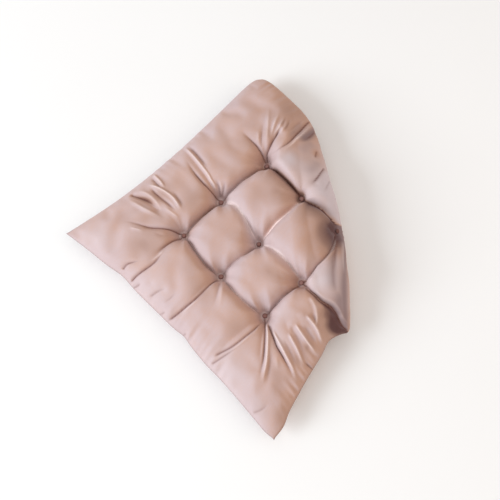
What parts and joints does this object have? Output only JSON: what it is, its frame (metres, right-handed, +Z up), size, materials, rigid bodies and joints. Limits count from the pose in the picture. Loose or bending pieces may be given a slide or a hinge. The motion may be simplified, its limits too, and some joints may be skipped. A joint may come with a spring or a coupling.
{
  "type": "tufted chair cushion",
  "caption": "Square knife-edge chair cushion, tufted in a grid with small covered buttons, lying on its back with one corner turned under.",
  "frame": {"origin": "middle of the outline, on the surface the cushion lies on", "axes": "+Z up through the face, +X and +Y along the sewn sides; the turned-under corner points at +X +Y"},
  "size_m": [0.4393, 0.3964, 0.0838],
  "materials": {
    "cover": "dusty pink brushed velvet",
    "buttons": "the same cloth, drawn tight over a small button"
  },
  "bodies": {
    "root": {"cushion": "cover", "button_a": "buttons", "button_b": "buttons", "button_c": "buttons", "button_d": "buttons", "button_e": "buttons", "button_f": "buttons", "button_g": "buttons", "button_h": "buttons", "button_i": "buttons"}
  },
  "joints": []
}
